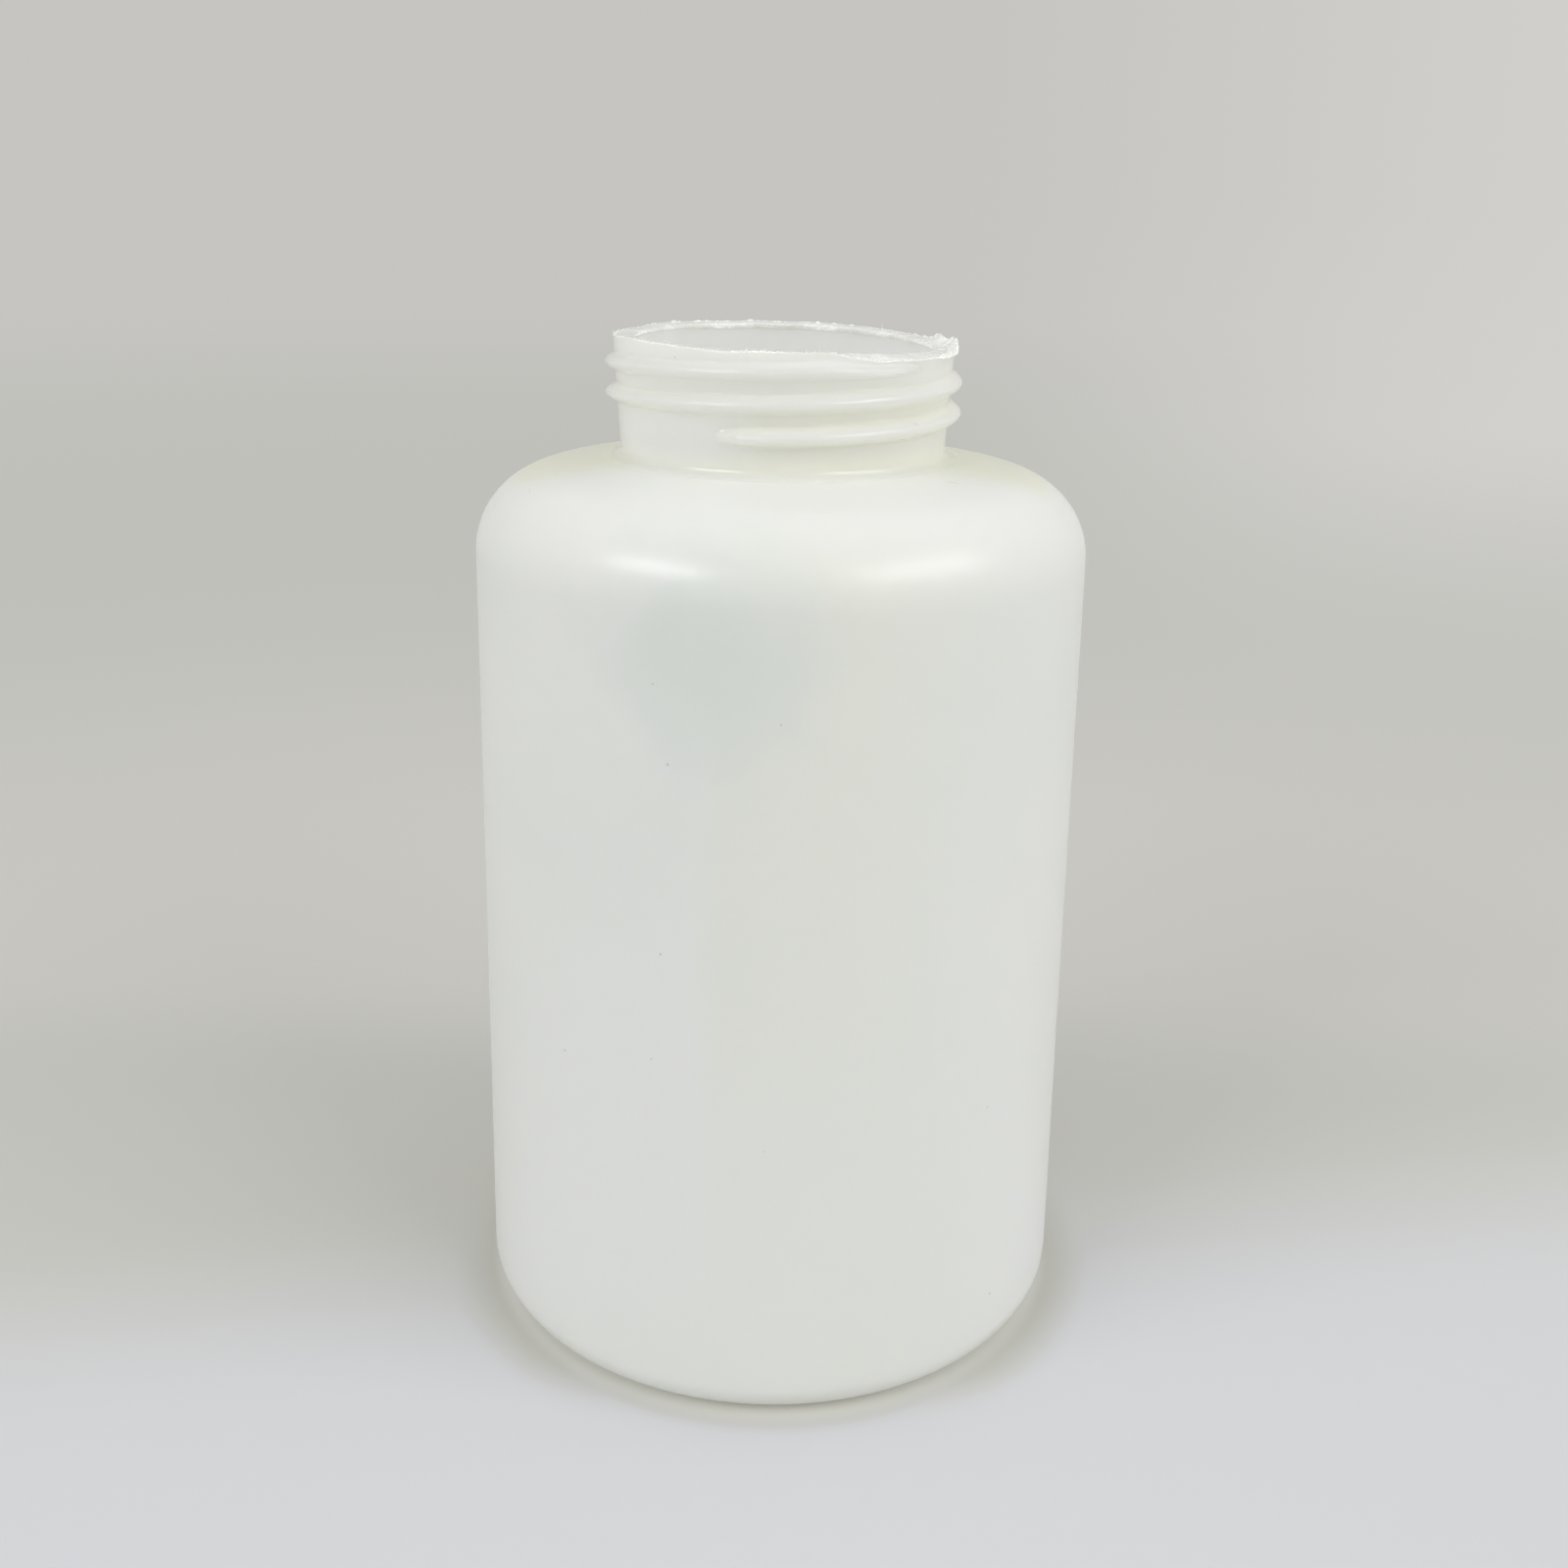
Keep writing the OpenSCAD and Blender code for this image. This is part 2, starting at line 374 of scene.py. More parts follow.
def closedShell(name, rings, bottom, top, material):
    # rings x columns of points, each ring closed and joined to the next, and a point to close either end
    rows, columns = rings.shape[:2]
    points = np.concatenate([rings.reshape(-1, 3), [bottom, top]])
    i = np.arange(rows - 1)[:, None] * columns
    j = np.arange(columns)[None, :]
    k = (j + 1) % columns
    quads = np.stack([i + j, i + k, i + k + columns, i + j + columns], -1).reshape(-1, 4)
    lastRing = (rows - 1) * columns
    first = np.stack([np.full(columns, rows * columns), k[0], j[0]], -1)
    last = np.stack([np.full(columns, rows * columns + 1), lastRing + j[0], lastRing + k[0]], -1)
    return makeMesh(name, points, quads, np.concatenate([first, last]), material)


def shellAngles(f):
    # whole columns every degree, with finer ones beside the parting plane for its ridge and the base's scar
    even = np.linspace(0, 360, f["columns"], endpoint=False)
    fine = np.array(f["partingColumns"])
    extra = np.concatenate([f["partingAngle"] + fine, f["partingAngle"] + 180 + fine])
    return np.sort(np.concatenate([even, np.mod(extra, 360)]))


def makeBottle(f, material):
    # the section swept round the axis: each point's radius and height change with its angle, layer by layer
    profile, zone, poles = bottleProfile(f)
    r, z, zones, a = np.broadcast_arrays(profile[:, :1], profile[:, 1:], zone[:, None], shellAngles(f)[None])
    # thread, and the mould's fine parting ridge, which is lower on the body
    parting = np.abs(np.mod(a - f["partingAngle"] + 90, 180) - 90)
    ridge = f["partingHeight"] * np.exp(-(parting / f["partingWidth"]) ** 2)
    r = np.where(zones == neckZone, r + threadHeight(a, z, r, f) + ridge, r)
    low, high, share = f["partingOnBody"]
    seamed = (zones == bodyZone) & (z > low) & (z < high)
    r = np.where(seamed, r + share * ridge, r)
    # the trimmed rim follows the knife: the top few millimetres stretch to the cut height
    inward = np.clip((f["rimRadius"] - r) / (f["rimRadius"] - f["mouthRadius"]), 0, 1)
    follow = np.clip((z - (f["rimHeight"] - f["rimStretch"])) / f["rimStretch"], 0, 1)
    z = z + cutHeight(f, a, inward) * follow * (zones != bodyZone)
    # pinch-off scar under the base: a bar along the parting plane, whose sides fall with the fourth power
    across = np.abs(r * np.sin(np.radians(a - f["partingAngle"])))
    underside = (zones == bodyZone) & (z < f["scarBelow"]) & (r < f["footInner"])
    room = np.clip((z - f["scarClear"]) / f["scarHeight"], 0, 1)
    scar = np.clip(1.15 - (across / (f["scarWidth"] / 2)) ** 4, 0, 1) * room
    z = np.where(underside, z - f["scarHeight"] * scar, z)
    # faint unevenness of the blown wall, always inwards, none at either end
    low, high = f["unevenBetween"]
    lumps = roundNoise(a + f["unevenTwist"] * z, seed=31, waves=f["unevenLumps"])
    wave = 0.5 + 0.5 * lumps * np.cos(z / f["unevenRise"])
    body = (zones == bodyZone) & (z > low) & (z < high)
    fade = np.sin(np.clip((z - low) / (high - low), 0, 1) * np.pi)
    r = np.where(body, r - f["unevenDepth"] * wave * fade, r)
    t = np.radians(a)
    rings = np.stack([r * np.cos(t), r * np.sin(t), z], -1)
    shell = closedShell("bottleShell", rings, [0, 0, poles[0] - f["scarHeight"]], [0, 0, poles[1]], material)
    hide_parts("bottle")
    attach(shell, "root")
    return shell


# places in metres: a pair is where a tone starts and where it is full
polyethyleneLook = {
    "thick": "#ebece7",
    # the thin wall's tone, which also colours the painted reflection under the shoulder
    "thin": "#dfe4df",
    "warm": "#e8e9e0",
    "seamSide": "#e9eae1",
    # yellow, with painted shade, for the back of the shoulder
    "shoulderBackYellowAndPaintedShade": "#e6e8d4",
    "neck": "#ecede3",
    # painted light: the pale tone of the neck's foot
    "footPaintedLight": "#f4f5e8",
    "footYellow": "#f1f2de",
    # painted shade for the thread's crest
    "crest": "#dfe0d9",
    "rim": "#f2f3ec",
    # painted light for the bore, and a painted reflection for its right side
    "mouth": "#f6f7f1",
    "mouthPaintedReflection": "#fbfcf9",
    "speck": "#c2c0b5",
    # sizes of the cloudy mottle, of warmer stretches, and of the wandering of the painted reflection's
    # outline
    "mottleSize": 38.46 * mm,
    "warmthSize": 83.33 * mm,
    "wanderSize": 18.18 * mm,
    "mottleShare": (0.35, 1.1),
    "warmthShare": (0.45, 0.8),
    # middle of the painted reflection, a darker patch under the shoulder, how far it reaches, and how far its
    # outline wanders in all
    "paintedReflection": (-0.009, -0.039, 0.099),
    "paintedReflectionReach": (0.019, 0.005),
    "paintedReflectionWander": 0.022,
    # elsewhere the wall is thin in the mottle's clouds, where it was stretched: by height
    "stretchedUp": (0.015, 0.075),
    "stretchedDown": (0.115, 0.095),
    # the step at the seam: by distance from the parting plane, then by height
    "seamStep": (-0.0005, 0.004),
    "seamFade": (0.044, 0.016),
    "seamTop": (0.118, 0.108),
    "seamLow": (0.01, 0.06),
    # the back of the shoulder, yellower and painted darker as shade where it faces from the light: by depth,
    # then by height
    "backDepth": (-0.018, -0.006),
    "backHeight": (0.1128, 0.1148),
    # the neck, its foot, which is yellow and painted pale as painted light, and the rim: by height, and from
    # left to right
    "neckUp": (0.1166, 0.1185),
    "footUp": (0.1168, 0.119),
    "footDown": (0.130, 0.122),
    "footAcross": (-0.016, 0.008),
    "rimUp": (0.1300, 0.1312),
    # the thread's crest, painted darker as shade, and the bore, painted bright as light: by distance from the
    # axis, by height, and from left to right
    "crestOut": (0.0218, 0.0229),
    "crestUp": (0.119, 0.1205),
    "boreIn": (0.0205, 0.0197),
    "boreUp": (0.11, 0.116),
    "mouthAcross": (0.002, 0.015),
    # one speck at most in each square, in those whose random draw passes the share
    "speckSize": 0.22 * mm,
    "speckSpacing": 15.0 * mm,
    "speckCore": 0.25,
    "speckShare": (0.6, 1.0),
    # the blasted mould's grain is under 0.1 mm, too fine to show, so it is drawn about four times as coarse
    "grainSize": 0.3846 * mm,
    "grainDepth": 0.02 * mm,
    "grainStrength": 0.12,
    # the body is satin and the neck glossier: by height
    "glossUp": (0.1165, 0.1185),
    "roughBody": 0.29,
    "roughNeck": 0.11,
    "ior": 1.54,
    # how far light wanders in the body and, by height, in the neck, and each colour's share of that
    "scatterBody": 2.2 * mm,
    "scatterNeck": 9.0 * mm,
    "scatterUp": (0.1168, 0.121),
    "scatterDown": (0.1320, 0.1302),
    "scatterColour": (1.0, 0.97, 0.9),
}


def naturalPolyethylene(look):
    # natural HDPE, extrusion blow-moulded in a sand-blasted mould: milky, translucent, with a waxy sheen
    material, tree = newMaterial("naturalPolyethylene")
    where = addNode(tree, "ShaderNodeTexCoord").outputs["Object"]
    across, depth, height = addNode(tree, "ShaderNodeSeparateXYZ", {"Vector": where}).outputs
    flat = addNode(tree, "ShaderNodeVectorMath", {0: where, 1: (1, 1, 0)}, operation="MULTIPLY").outputs[0]
    fromAxis = addNode(tree, "ShaderNodeVectorMath", {0: flat}, operation="LENGTH").outputs["Value"]
    mottle, warmth, wander, grain = (
        addNode(tree, "ShaderNodeTexNoise", {"Vector": where, "Scale": 1 / look[size], "Detail": detail})
        for size, detail in (
            ("mottleSize", 3.0), ("warmthSize", 1.0), ("wanderSize", 2.0), ("grainSize", 2.0)))
    # painted reflection: a darker patch under the shoulder, whose outline wanders by a few millimetres
    shift = addNode(tree, "ShaderNodeVectorMath", {0: wander.outputs["Color"], "Scale": look["paintedReflectionWander"]},
                    operation="SCALE")
    moved = addNode(tree, "ShaderNodeVectorMath", {0: where, 1: shift.outputs[0]}, operation="ADD")
    middle = tuple(c + look["paintedReflectionWander"] / 2 for c in look["paintedReflection"])
    fromPaintedReflection = addNode(tree, "ShaderNodeVectorMath", {0: moved.outputs[0], 1: middle}, operation="DISTANCE")
    paintedReflection = overlap(tree, (fromPaintedReflection.outputs["Value"], *look["paintedReflectionReach"]))
    stretched = overlap(tree, (mottle.outputs["Fac"], *look["mottleShare"]), (height, *look["stretchedUp"]),
                        (height, *look["stretchedDown"]))
    thin = addNode(tree, "ShaderNodeMath", {0: paintedReflection, 1: stretched}, operation="MAXIMUM").outputs[0]
    # one half of the mould blew a slightly heavier wall, which shows as a soft step along the parting line
    seam = math.radians(bottleForm["partingAngle"])
    sideways = (-math.sin(seam), math.cos(seam), 0.0)
    fromSeam = addNode(tree, "ShaderNodeVectorMath", {0: where, 1: sideways}, operation="DOT_PRODUCT")
    fromSeam = fromSeam.outputs["Value"]
    # specks of dust and pits lie in the squares of the unrolled surface
    turned = addNode(tree, "ShaderNodeMath", {0: depth, 1: across}, operation="ARCTAN2").outputs[0]
    along = addNode(tree, "ShaderNodeMath", {0: turned, 1: fromAxis}, operation="MULTIPLY").outputs[0]
    unrolled = addNode(tree, "ShaderNodeCombineXYZ", {"X": along, "Y": height}).outputs[0]
    squares = addNode(tree, "ShaderNodeTexVoronoi", {"Vector": unrolled, "Scale": 1 / look["speckSpacing"]},
                      voronoi_dimensions="2D")
    draw = addNode(tree, "ShaderNodeSeparateXYZ", {"Vector": squares.outputs["Color"]}).outputs[0]
    speckEdge = look["speckSize"] / look["speckSpacing"]
    # the plastic is thickest round the neck, so its yellow shows on the shoulder and at the neck's foot; the
    # foot and lower neck are also painted pale, as painted light over the crease there
    footPaintedLightAndYellow = layTones(tree, look["footPaintedLight"], (look["footYellow"], (across, *look["footAcross"])))
    # the bore, which the mould never touched, is painted bright as painted light, and brighter to the right
    # as a painted reflection; the thread is solid plastic, and its crest is painted darker as shade
    mouthPaintedLight = layTones(tree, look["mouth"], (look["mouthPaintedReflection"], (across, *look["mouthAcross"])))
    tone = layTones(
        tree, look["thick"],
        (look["warm"], (warmth.outputs["Fac"], *look["warmthShare"])),
        (look["seamSide"], (fromSeam, *look["seamStep"]), (fromSeam, *look["seamFade"]),
         (height, *look["seamTop"]), (height, *look["seamLow"])),
        # the thin wall's mottle, and the painted reflection under the shoulder
        (look["thin"], thin),
        # painted shade, with the plastic's yellow, on the back of the shoulder
        (look["shoulderBackYellowAndPaintedShade"], (depth, *look["backDepth"]), (height, *look["backHeight"])),
        (look["neck"], (height, *look["neckUp"])),
        # painted light: the neck's foot and lower neck painted pale, and yellower to the right
        (footPaintedLightAndYellow, (height, *look["footUp"]), (height, *look["footDown"])),
        # painted shade on the thread's crests
        (look["crest"], (fromAxis, *look["crestOut"]), (height, *look["crestUp"])),
        (look["rim"], (height, *look["rimUp"])),
        # painted light in the bore, and a painted reflection to its right
        (mouthPaintedLight, (fromAxis, *look["boreIn"]), (height, *look["boreUp"])),
        (look["speck"], (squares.outputs["Distance"], speckEdge, look["speckCore"] * speckEdge),
         (draw, *look["speckShare"])))
    rough = addNode(tree, "ShaderNodeMapRange", {
        "Value": overlap(tree, (height, *look["glossUp"])), "To Min": look["roughBody"],
        "To Max": look["roughNeck"]})
    bump = addNode(tree, "ShaderNodeBump", {
        "Height": grain.outputs["Fac"], "Strength": look["grainStrength"], "Distance": look["grainDepth"]})
    # light wanders further in the neck, which is open on both sides, than in the closed body or the cut rim
    scatter = addNode(tree, "ShaderNodeMapRange", {
        "Value": overlap(tree, (height, *look["scatterUp"]), (height, *look["scatterDown"])),
        "To Min": look["scatterBody"], "To Max": look["scatterNeck"]})
    skin = addNode(tree, "ShaderNodeBsdfPrincipled", {
        "Base Color": tone, "Normal": bump.outputs[0], "Roughness": rough.outputs[0], "IOR": look["ior"],
        "Subsurface Weight": 1.0, "Subsurface Radius": look["scatterColour"],
        "Subsurface Scale": scatter.outputs[0]})
    addNode(tree, "ShaderNodeOutputMaterial", {"Surface": skin.outputs[0]})
    return material


bottleShell = makeBottle(bottleForm, naturalPolyethylene(polyethyleneLook))
print("bottle shell:", len(bottleShell.data.polygons), "faces")

# the edge that the trimming knife left: a fine burr outside, a crumpled bead inside, a torn stretch, slivers
frayForm = {
    "topLimit": 133.55,
    # how ragged the outer edge is, by angle, and the burr that stands on it
    "raggedness": [
        (-180, 0.8), (-172, 0.2), (-110, 0.15), (-104, 0.65), (-98, 0.15), (-82, 0.15), (-77, 0.85),
        (-72, 0.2), (-60, 0.2), (-30, 0.4), (-14, 0.6), (12, 0.6), (22, 0.4), (45, 0.2), (120, 0.15),
        (168, 0.3), (176, 0.8),
    ],
    "burrColumns": 1440,
    "burrThickness": 0.12,
    "burrHeight": 0.12,
    "burrSink": 0.12,
    "burrWaves": [(70, 0.5), (190, 0.5), (430, 0.4)],
    "raggedHeight": 0.75,
    "leanDepth": 0.05,
    "leanWaves": [(40, 1.0), (170, 0.8)],
    # how thick the crumpled bead on the inner edge is, by angle
    "beadShare": [
        (-180, 0.35), (-120, 0.25), (-60, 0.25), (0, 0.4), (40, 0.7), (60, 1.0), (120, 1.0), (135, 0.6),
        (160, 0.5),
    ],
    # its section from the rim's land over the edge and down the bore: offset outwards, offset up, bulge
    "beadSection": [
        (2.50, -0.04, 0.0), (2.30, 0.06, 0.0), (1.60, 0.07, 0.0), (0.90, 0.07, 0.0), (0.45, 0.07, 0.0),
        (0.28, 0.06, 0.15), (0.12, 0.03, 0.45), (0.02, -0.05, 0.8), (-0.01, -0.15, 1.0), (-0.02, -0.27, 0.95),
        (-0.02, -0.40, 0.8), (-0.02, -0.54, 0.6), (-0.01, -0.70, 0.35), (0.0, -0.86, 0.12), (0.02, -1.0, 0.0),
        (0.12, -0.75, 0.0), (0.14, -0.5, 0.0), (0.2, -0.3, 0.0), (1.2, -0.25, 0.0), (2.3, -0.25, 0.0),
    ],
    "beadColumns": 2160,
    "beadSize": 0.26,
    "foldWaves": [(60, 0.25), (230, 0.6), (390, 0.5)],
    "foldTwist": 1.2,
    "tornBetween": (-30.0, 30.0),
    "tornColumns": 420,
    "tornReach": 22.4,
    "tornFoot": 130.35,
    "tornTop": 1.2,
    # outer face of the torn stretch: share of its reach, offset outwards, share of the way from foot to top
    "tornSection": [
        (0.0, -0.3, 0.0), (0.6, 0.0, 0.0), (1.0, 0.0, 0.12), (0.9, 0.0, 0.35), (1.05, 0.0, 0.6),
        (0.9, 0.02, 0.85), (0.8, 0.0, 1.0),
    ],
    "tornInside": [0.97, 0.8, 0.62, 0.45, 0.3, 0.15, 0.05],  # and the same way back down its inner face
    # lumps in a turn and their weights: of its reach, its jagged top, its foot, its creases and its inside
    "rippleWaves": [(60, 0.5), (170, 0.4)],
    "teethWaves": [(110, 0.9), (260, 0.45)],
    "droopWaves": [(150, 1.0)],
    "creaseWaves": [(140, 0.6), (310, 0.5)],
    "shiverWaves": [(200, 1.0)],
    "slivers": 120,
    "seed": 5,
    "sliverLength": (0.12, 0.35),
    "sliverWidth": (0.08, 0.22),
    "sliverThickness": 0.1,
    # the way a sliver starts, the way it curls, and how far inside the edge and below the cut its root lies
    "startOut": (-0.2, 0.7),
    "startUp": (0.45, 1.0),
    "startAlong": (-0.5, 0.5),
    "curlOut": (-0.3, 0.4),
    "curlAlong": (-0.4, 0.4),
    "curlUp": (-0.5, 0.1),
    "rootDepth": (0.02, 0.3),
    "rootSink": 0.12,
    # where slivers gather: middle, spread and share of them, and how long they are there
    "gathered": [(-2, 12, 0.40), (-77, 4, 0.08), (-103, 3, 0.06), (178, 5, 0.08)],
    "gatheredLength": (0.25, 0.8),
    # some near the torn stretch are broad: middle, half its span, their share and their width
    "broadSpan": (-2, 24, 0.4),
    "broadWidth": (0.4, 0.9),
    "longHairs": [  # angle, length, lean outwards
        (51.5, 1.1, 0.0), (69, 0.5, 0.2), (141, 0.45, 0.0), (128, 0.4, 0.1), (31, 0.5, 0.2),
    ],
    "hairWidth": 0.09,
}


def sweptBodies(points, joinEnds):
    # bodies x rows x section points: faces run round each section and along each body, joined or capped
    n, rows, loop = points.shape[:3]
    body = np.arange(n)[:, None, None] * rows * loop
    i = np.arange(rows if joinEnds else rows - 1)[None, :, None]
    j = np.arange(loop)[None, None, :]
    k = (j + 1) % loop
    here = body + i * loop
    ahead = body + (i + 1) % rows * loop
    quads = [np.stack([here + j, here + k, ahead + k, ahead + j], -1).reshape(-1, 4)]
    if not joinEnds:
        c = np.arange(loop // 2 - 1)
        cap = np.stack([c, c + 1, loop - 2 - c, loop - 1 - c], -1)[None] + body
        quads += [cap[..., ::-1].reshape(-1, 4), (cap + (rows - 1) * loop).reshape(-1, 4)]
    points = points.reshape(-1, 3)
    quads = np.concatenate(quads)
    # the sum of corner triple products is the volume's sign, which tells whether the faces point outwards
    first, second, third, fourth = (points[quads[:, corner]] for corner in range(4))
    volume = np.sum(first * (np.cross(second, third) + np.cross(third, fourth)))
    return points, quads if volume > 0 else quads[:, ::-1]


def roundSweep(angle, r, z, joinEnds):
    # sections given as radius and height for each angle, swept round the axis
    t = np.radians(angle)[:, None]
    return sweptBodies(np.stack([r * np.cos(t), r * np.sin(t), z], -1)[None], joinEnds)


def edgeBurr(f, b):
    # a thin wedge on the outer edge: flush with the wall below, uneven height from layered noise above
    angle = np.linspace(0, 360, f["burrColumns"], endpoint=False)
    torn = throughAngles(angle, f["raggedness"], 1.5)
    rough = np.abs(roundNoise(angle, seed=3, waves=f["burrWaves"]))
    height = f["burrHeight"] * (0.3 + 1.4 * rough ** 1.5) + f["raggedHeight"] * torn ** 2 * rough ** 1.6
    lean = f["leanDepth"] * roundNoise(angle, seed=8, waves=f["leanWaves"])
    s = np.linspace(0, 1, 6)[None, :]
    foot = b["rimHeight"] + cutHeight(b, angle, 0.0) - f["burrSink"]
    half = f["burrThickness"] / 2 * (1 - 0.7 * s)
    middle = b["rimRadius"] - 0.01 - half + lean[:, None] * s ** 1.5
    z = np.minimum(foot[:, None] + (height + f["burrSink"])[:, None] * s, f["topLimit"])
    r = np.concatenate([middle + half, (middle - half)[:, ::-1]], 1)
    return roundSweep(angle, r, np.concatenate([z, z[:, ::-1]], 1), True)


def innerBead(f, b):
    # the bead that the knife rolled over into the mouth: its section swept round, bulging by folds of noise
    angle = np.linspace(0, 360, f["beadColumns"], endpoint=False)
    share = throughAngles(angle, f["beadShare"], 6.0)[:, None]
    out, up, bulge = np.array(f["beadSection"]).T[:, None, :]
    fold = roundNoise(angle[:, None] + f["foldTwist"] * up, seed=23, waves=f["foldWaves"])
    fold = np.clip(0.8 + 0.75 * fold, 0.05, 2.0)
    inward = 1 - np.maximum(out, 0) / (b["rimRadius"] - b["mouthRadius"])
    outer, inner = (cutHeight(b, angle, edge)[:, None] for edge in (0.0, 1.0))
    base = b["rimHeight"] + outer + (inner - outer) * inward
    r = b["mouthRadius"] + out - f["beadSize"] * share * bulge * fold
    return roundSweep(angle, r, base + up * (0.3 + 0.45 * share), True)


def tornCollar(f, b):
    # the torn stretch: a collar lifted off the wall, with an outer face, a jagged top and a sloping inside
    start, end = f["tornBetween"]
    angle = np.linspace(start, end, f["tornColumns"])
    share = np.sin(np.pi * (angle - start) / (end - start)) ** 0.6
    base = b["rimHeight"] + cutHeight(b, angle, 0.0)
    ripple = 0.75 + 0.5 * roundNoise(angle, seed=43, waves=f["rippleWaves"])
    out = (f["tornReach"] - b["rimRadius"]) * share * ripple
    teeth = np.abs(roundNoise(angle, seed=41, waves=f["teethWaves"])) ** 0.8
    top = base + share * (0.25 + f["tornTop"] * teeth)
    droop = 0.25 * roundNoise(angle, seed=47, waves=f["droopWaves"])
    foot = base - 0.1 - share * (base - 0.1 - f["tornFoot"] + droop)
    reach, offset, rise = np.array(f["tornSection"]).T[:, None, :]
    crease = 0.12 * roundNoise(angle[:, None] + 6 * rise, seed=53, waves=f["creaseWaves"])
    outerR = b["rimRadius"] + out[:, None] * reach + offset + crease * (rise > 0.05) * share[:, None]
    outerZ = foot[:, None] + (top - foot)[:, None] * rise
    # the inner face comes back down to the rim's land, thick at the bottom
    rise = np.array(f["tornInside"])[None, :]
    thick = 0.12 + (0.25 + 1.1 * share[:, None]) * (1 - rise) ** 1.3
    shiver = 0.06 * roundNoise(angle[:, None] + 9 * rise, seed=59, waves=f["shiverWaves"])
    innerR = b["rimRadius"] - thick + 0.8 * crease.mean(1, keepdims=True) + shiver
    innerZ = (base - 0.15)[:, None] + (top - base + 0.15)[:, None] * rise
    r = np.concatenate([outerR, innerR], 1)
    z = np.concatenate([outerZ, innerZ], 1)
    return roundSweep(angle, r, np.minimum(z, f["topLimit"]), False)


def slivers(f, b):
    # tapered curling strips from the rim's edge: start + direction*s + curl*s^2, with a diamond section
    rng = np.random.default_rng(f["seed"])
    hairAngle, hairLength, hairLean = np.array(f["longHairs"]).T
    n = f["slivers"]
    h = len(hairAngle)
    pick = rng.uniform(0, 1, n)
    angle = rng.uniform(-180, 180, n)
    length = rng.uniform(*f["sliverLength"], n)
    edge = 0.0
    for centre, spread, share in f["gathered"]:
        here = (pick >= edge) & (pick < edge + share)
        angle = np.where(here, rng.normal(centre, spread, n), angle)
        length = np.where(here, rng.uniform(*f["gatheredLength"], n), length)
        edge += share
    width = rng.uniform(*f["sliverWidth"], n)
    centre, span, share = f["broadSpan"]
    broad = (np.abs(angle - centre) < span) & (rng.uniform(0, 1, n) < share)
    width = np.where(broad, rng.uniform(*f["broadWidth"], n), width)
    length = np.where(broad, length * 1.5, length)
    out = rng.uniform(*f["startOut"], n)
    upward = rng.uniform(*f["startUp"], n)
    along = rng.uniform(*f["startAlong"], n)
    out = np.where(broad, out * 0.4, out)
    # the long hairs come after the strips, nearly upright and with less curl
    angle = np.concatenate([angle, hairAngle])
    length = np.concatenate([length, hairLength])
    width = np.concatenate([width, np.full(h, f["hairWidth"])])
    out = np.concatenate([out, hairLean])
    upward = np.concatenate([upward, np.ones(h)])
    along = np.concatenate([along, np.full(h, 0.1)])
    t = np.radians(angle)
    radial = np.stack([np.cos(t), np.sin(t), 0 * t], 1)
    tangent = np.stack([-np.sin(t), np.cos(t), 0 * t], 1)
    upright = np.array([[0, 0, 1.0]])
    direction = radial * out[:, None] + tangent * along[:, None] + upright * upward[:, None]
    direction /= np.linalg.norm(direction, axis=1, keepdims=True)
    curl = radial * rng.uniform(*f["curlOut"], n + h)[:, None]
    curl += tangent * rng.uniform(*f["curlAlong"], n + h)[:, None]
    curl += upright * rng.uniform(*f["curlUp"], n + h)[:, None]
    curl[n:] *= 0.3
    depth = rng.uniform(*f["rootDepth"], n + h)
    base = radial * (b["rimRadius"] - depth)[:, None]
    inward = depth / (b["rimRadius"] - b["mouthRadius"])
    base[:, 2] = b["rimHeight"] + cutHeight(b, angle, inward) - f["rootSink"]
    s = np.linspace(0, 1, 7)[None, :, None]
    path = base[:, None] + length[:, None, None] * (direction[:, None] * s + curl[:, None] * s ** 2)
    path[..., 2] = np.minimum(path[..., 2], f["topLimit"] - f["sliverThickness"])
    across = np.cross(direction, radial)
    across /= np.linalg.norm(across, axis=1, keepdims=True) + 1e-9
    facing = np.cross(across, direction)
    taper = (1 - s[..., 0]) ** 0.6 + 0.06
    wide = across[:, None] * (width[:, None] * taper / 2)[..., None]
    thick = facing[:, None] * (f["sliverThickness"] / 2 * taper)[..., None]
    return sweptBodies(np.stack([path + wide, path + thick, path - wide, path - thick], 2), False)


def makeFray(f, b, material):
    # all of the edge's bodies joined into one mesh, each one's faces counted on from the points before it
    parts = [edgeBurr(f, b), innerBead(f, b), tornCollar(f, b), slivers(f, b)]
    starts = np.cumsum([0] + [len(points) for points, quads in parts[:-1]])
    allPoints = np.concatenate([points for points, quads in parts])
    allQuads = np.concatenate([quads + start for start, (points, quads) in zip(starts, parts)])
    fray = makeMesh("rimFray", allPoints, allQuads, np.zeros((0, 3), int), material)
    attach(fray, "root")
    return fray


cutLook = {
    "cut": "#e4e5df",
    "stretched": "#fafaf8",
    # torn fibres are nearer 0.1 mm wide, too fine to show, so they are drawn about three times as coarse
    "fibreSize": 0.3333 * mm,
    "fibreShare": (0.36, 0.60),
    "fibreDepth": 0.04 * mm,
    "fibreStrength": 0.4,
    "tearSize": 5.882 * mm,  # of the stretches that are torn more or less
    "tearShare": (0.42, 0.60),
    "roughSmooth": 0.08,
    "roughFibre": 0.28,
    "ior": 1.54,
    # strength of the light that leaves by the undersides, from faces that look half up to ones a little down
    "carried": 0.34,
    "carriedFacing": (0.5, -0.3),
}


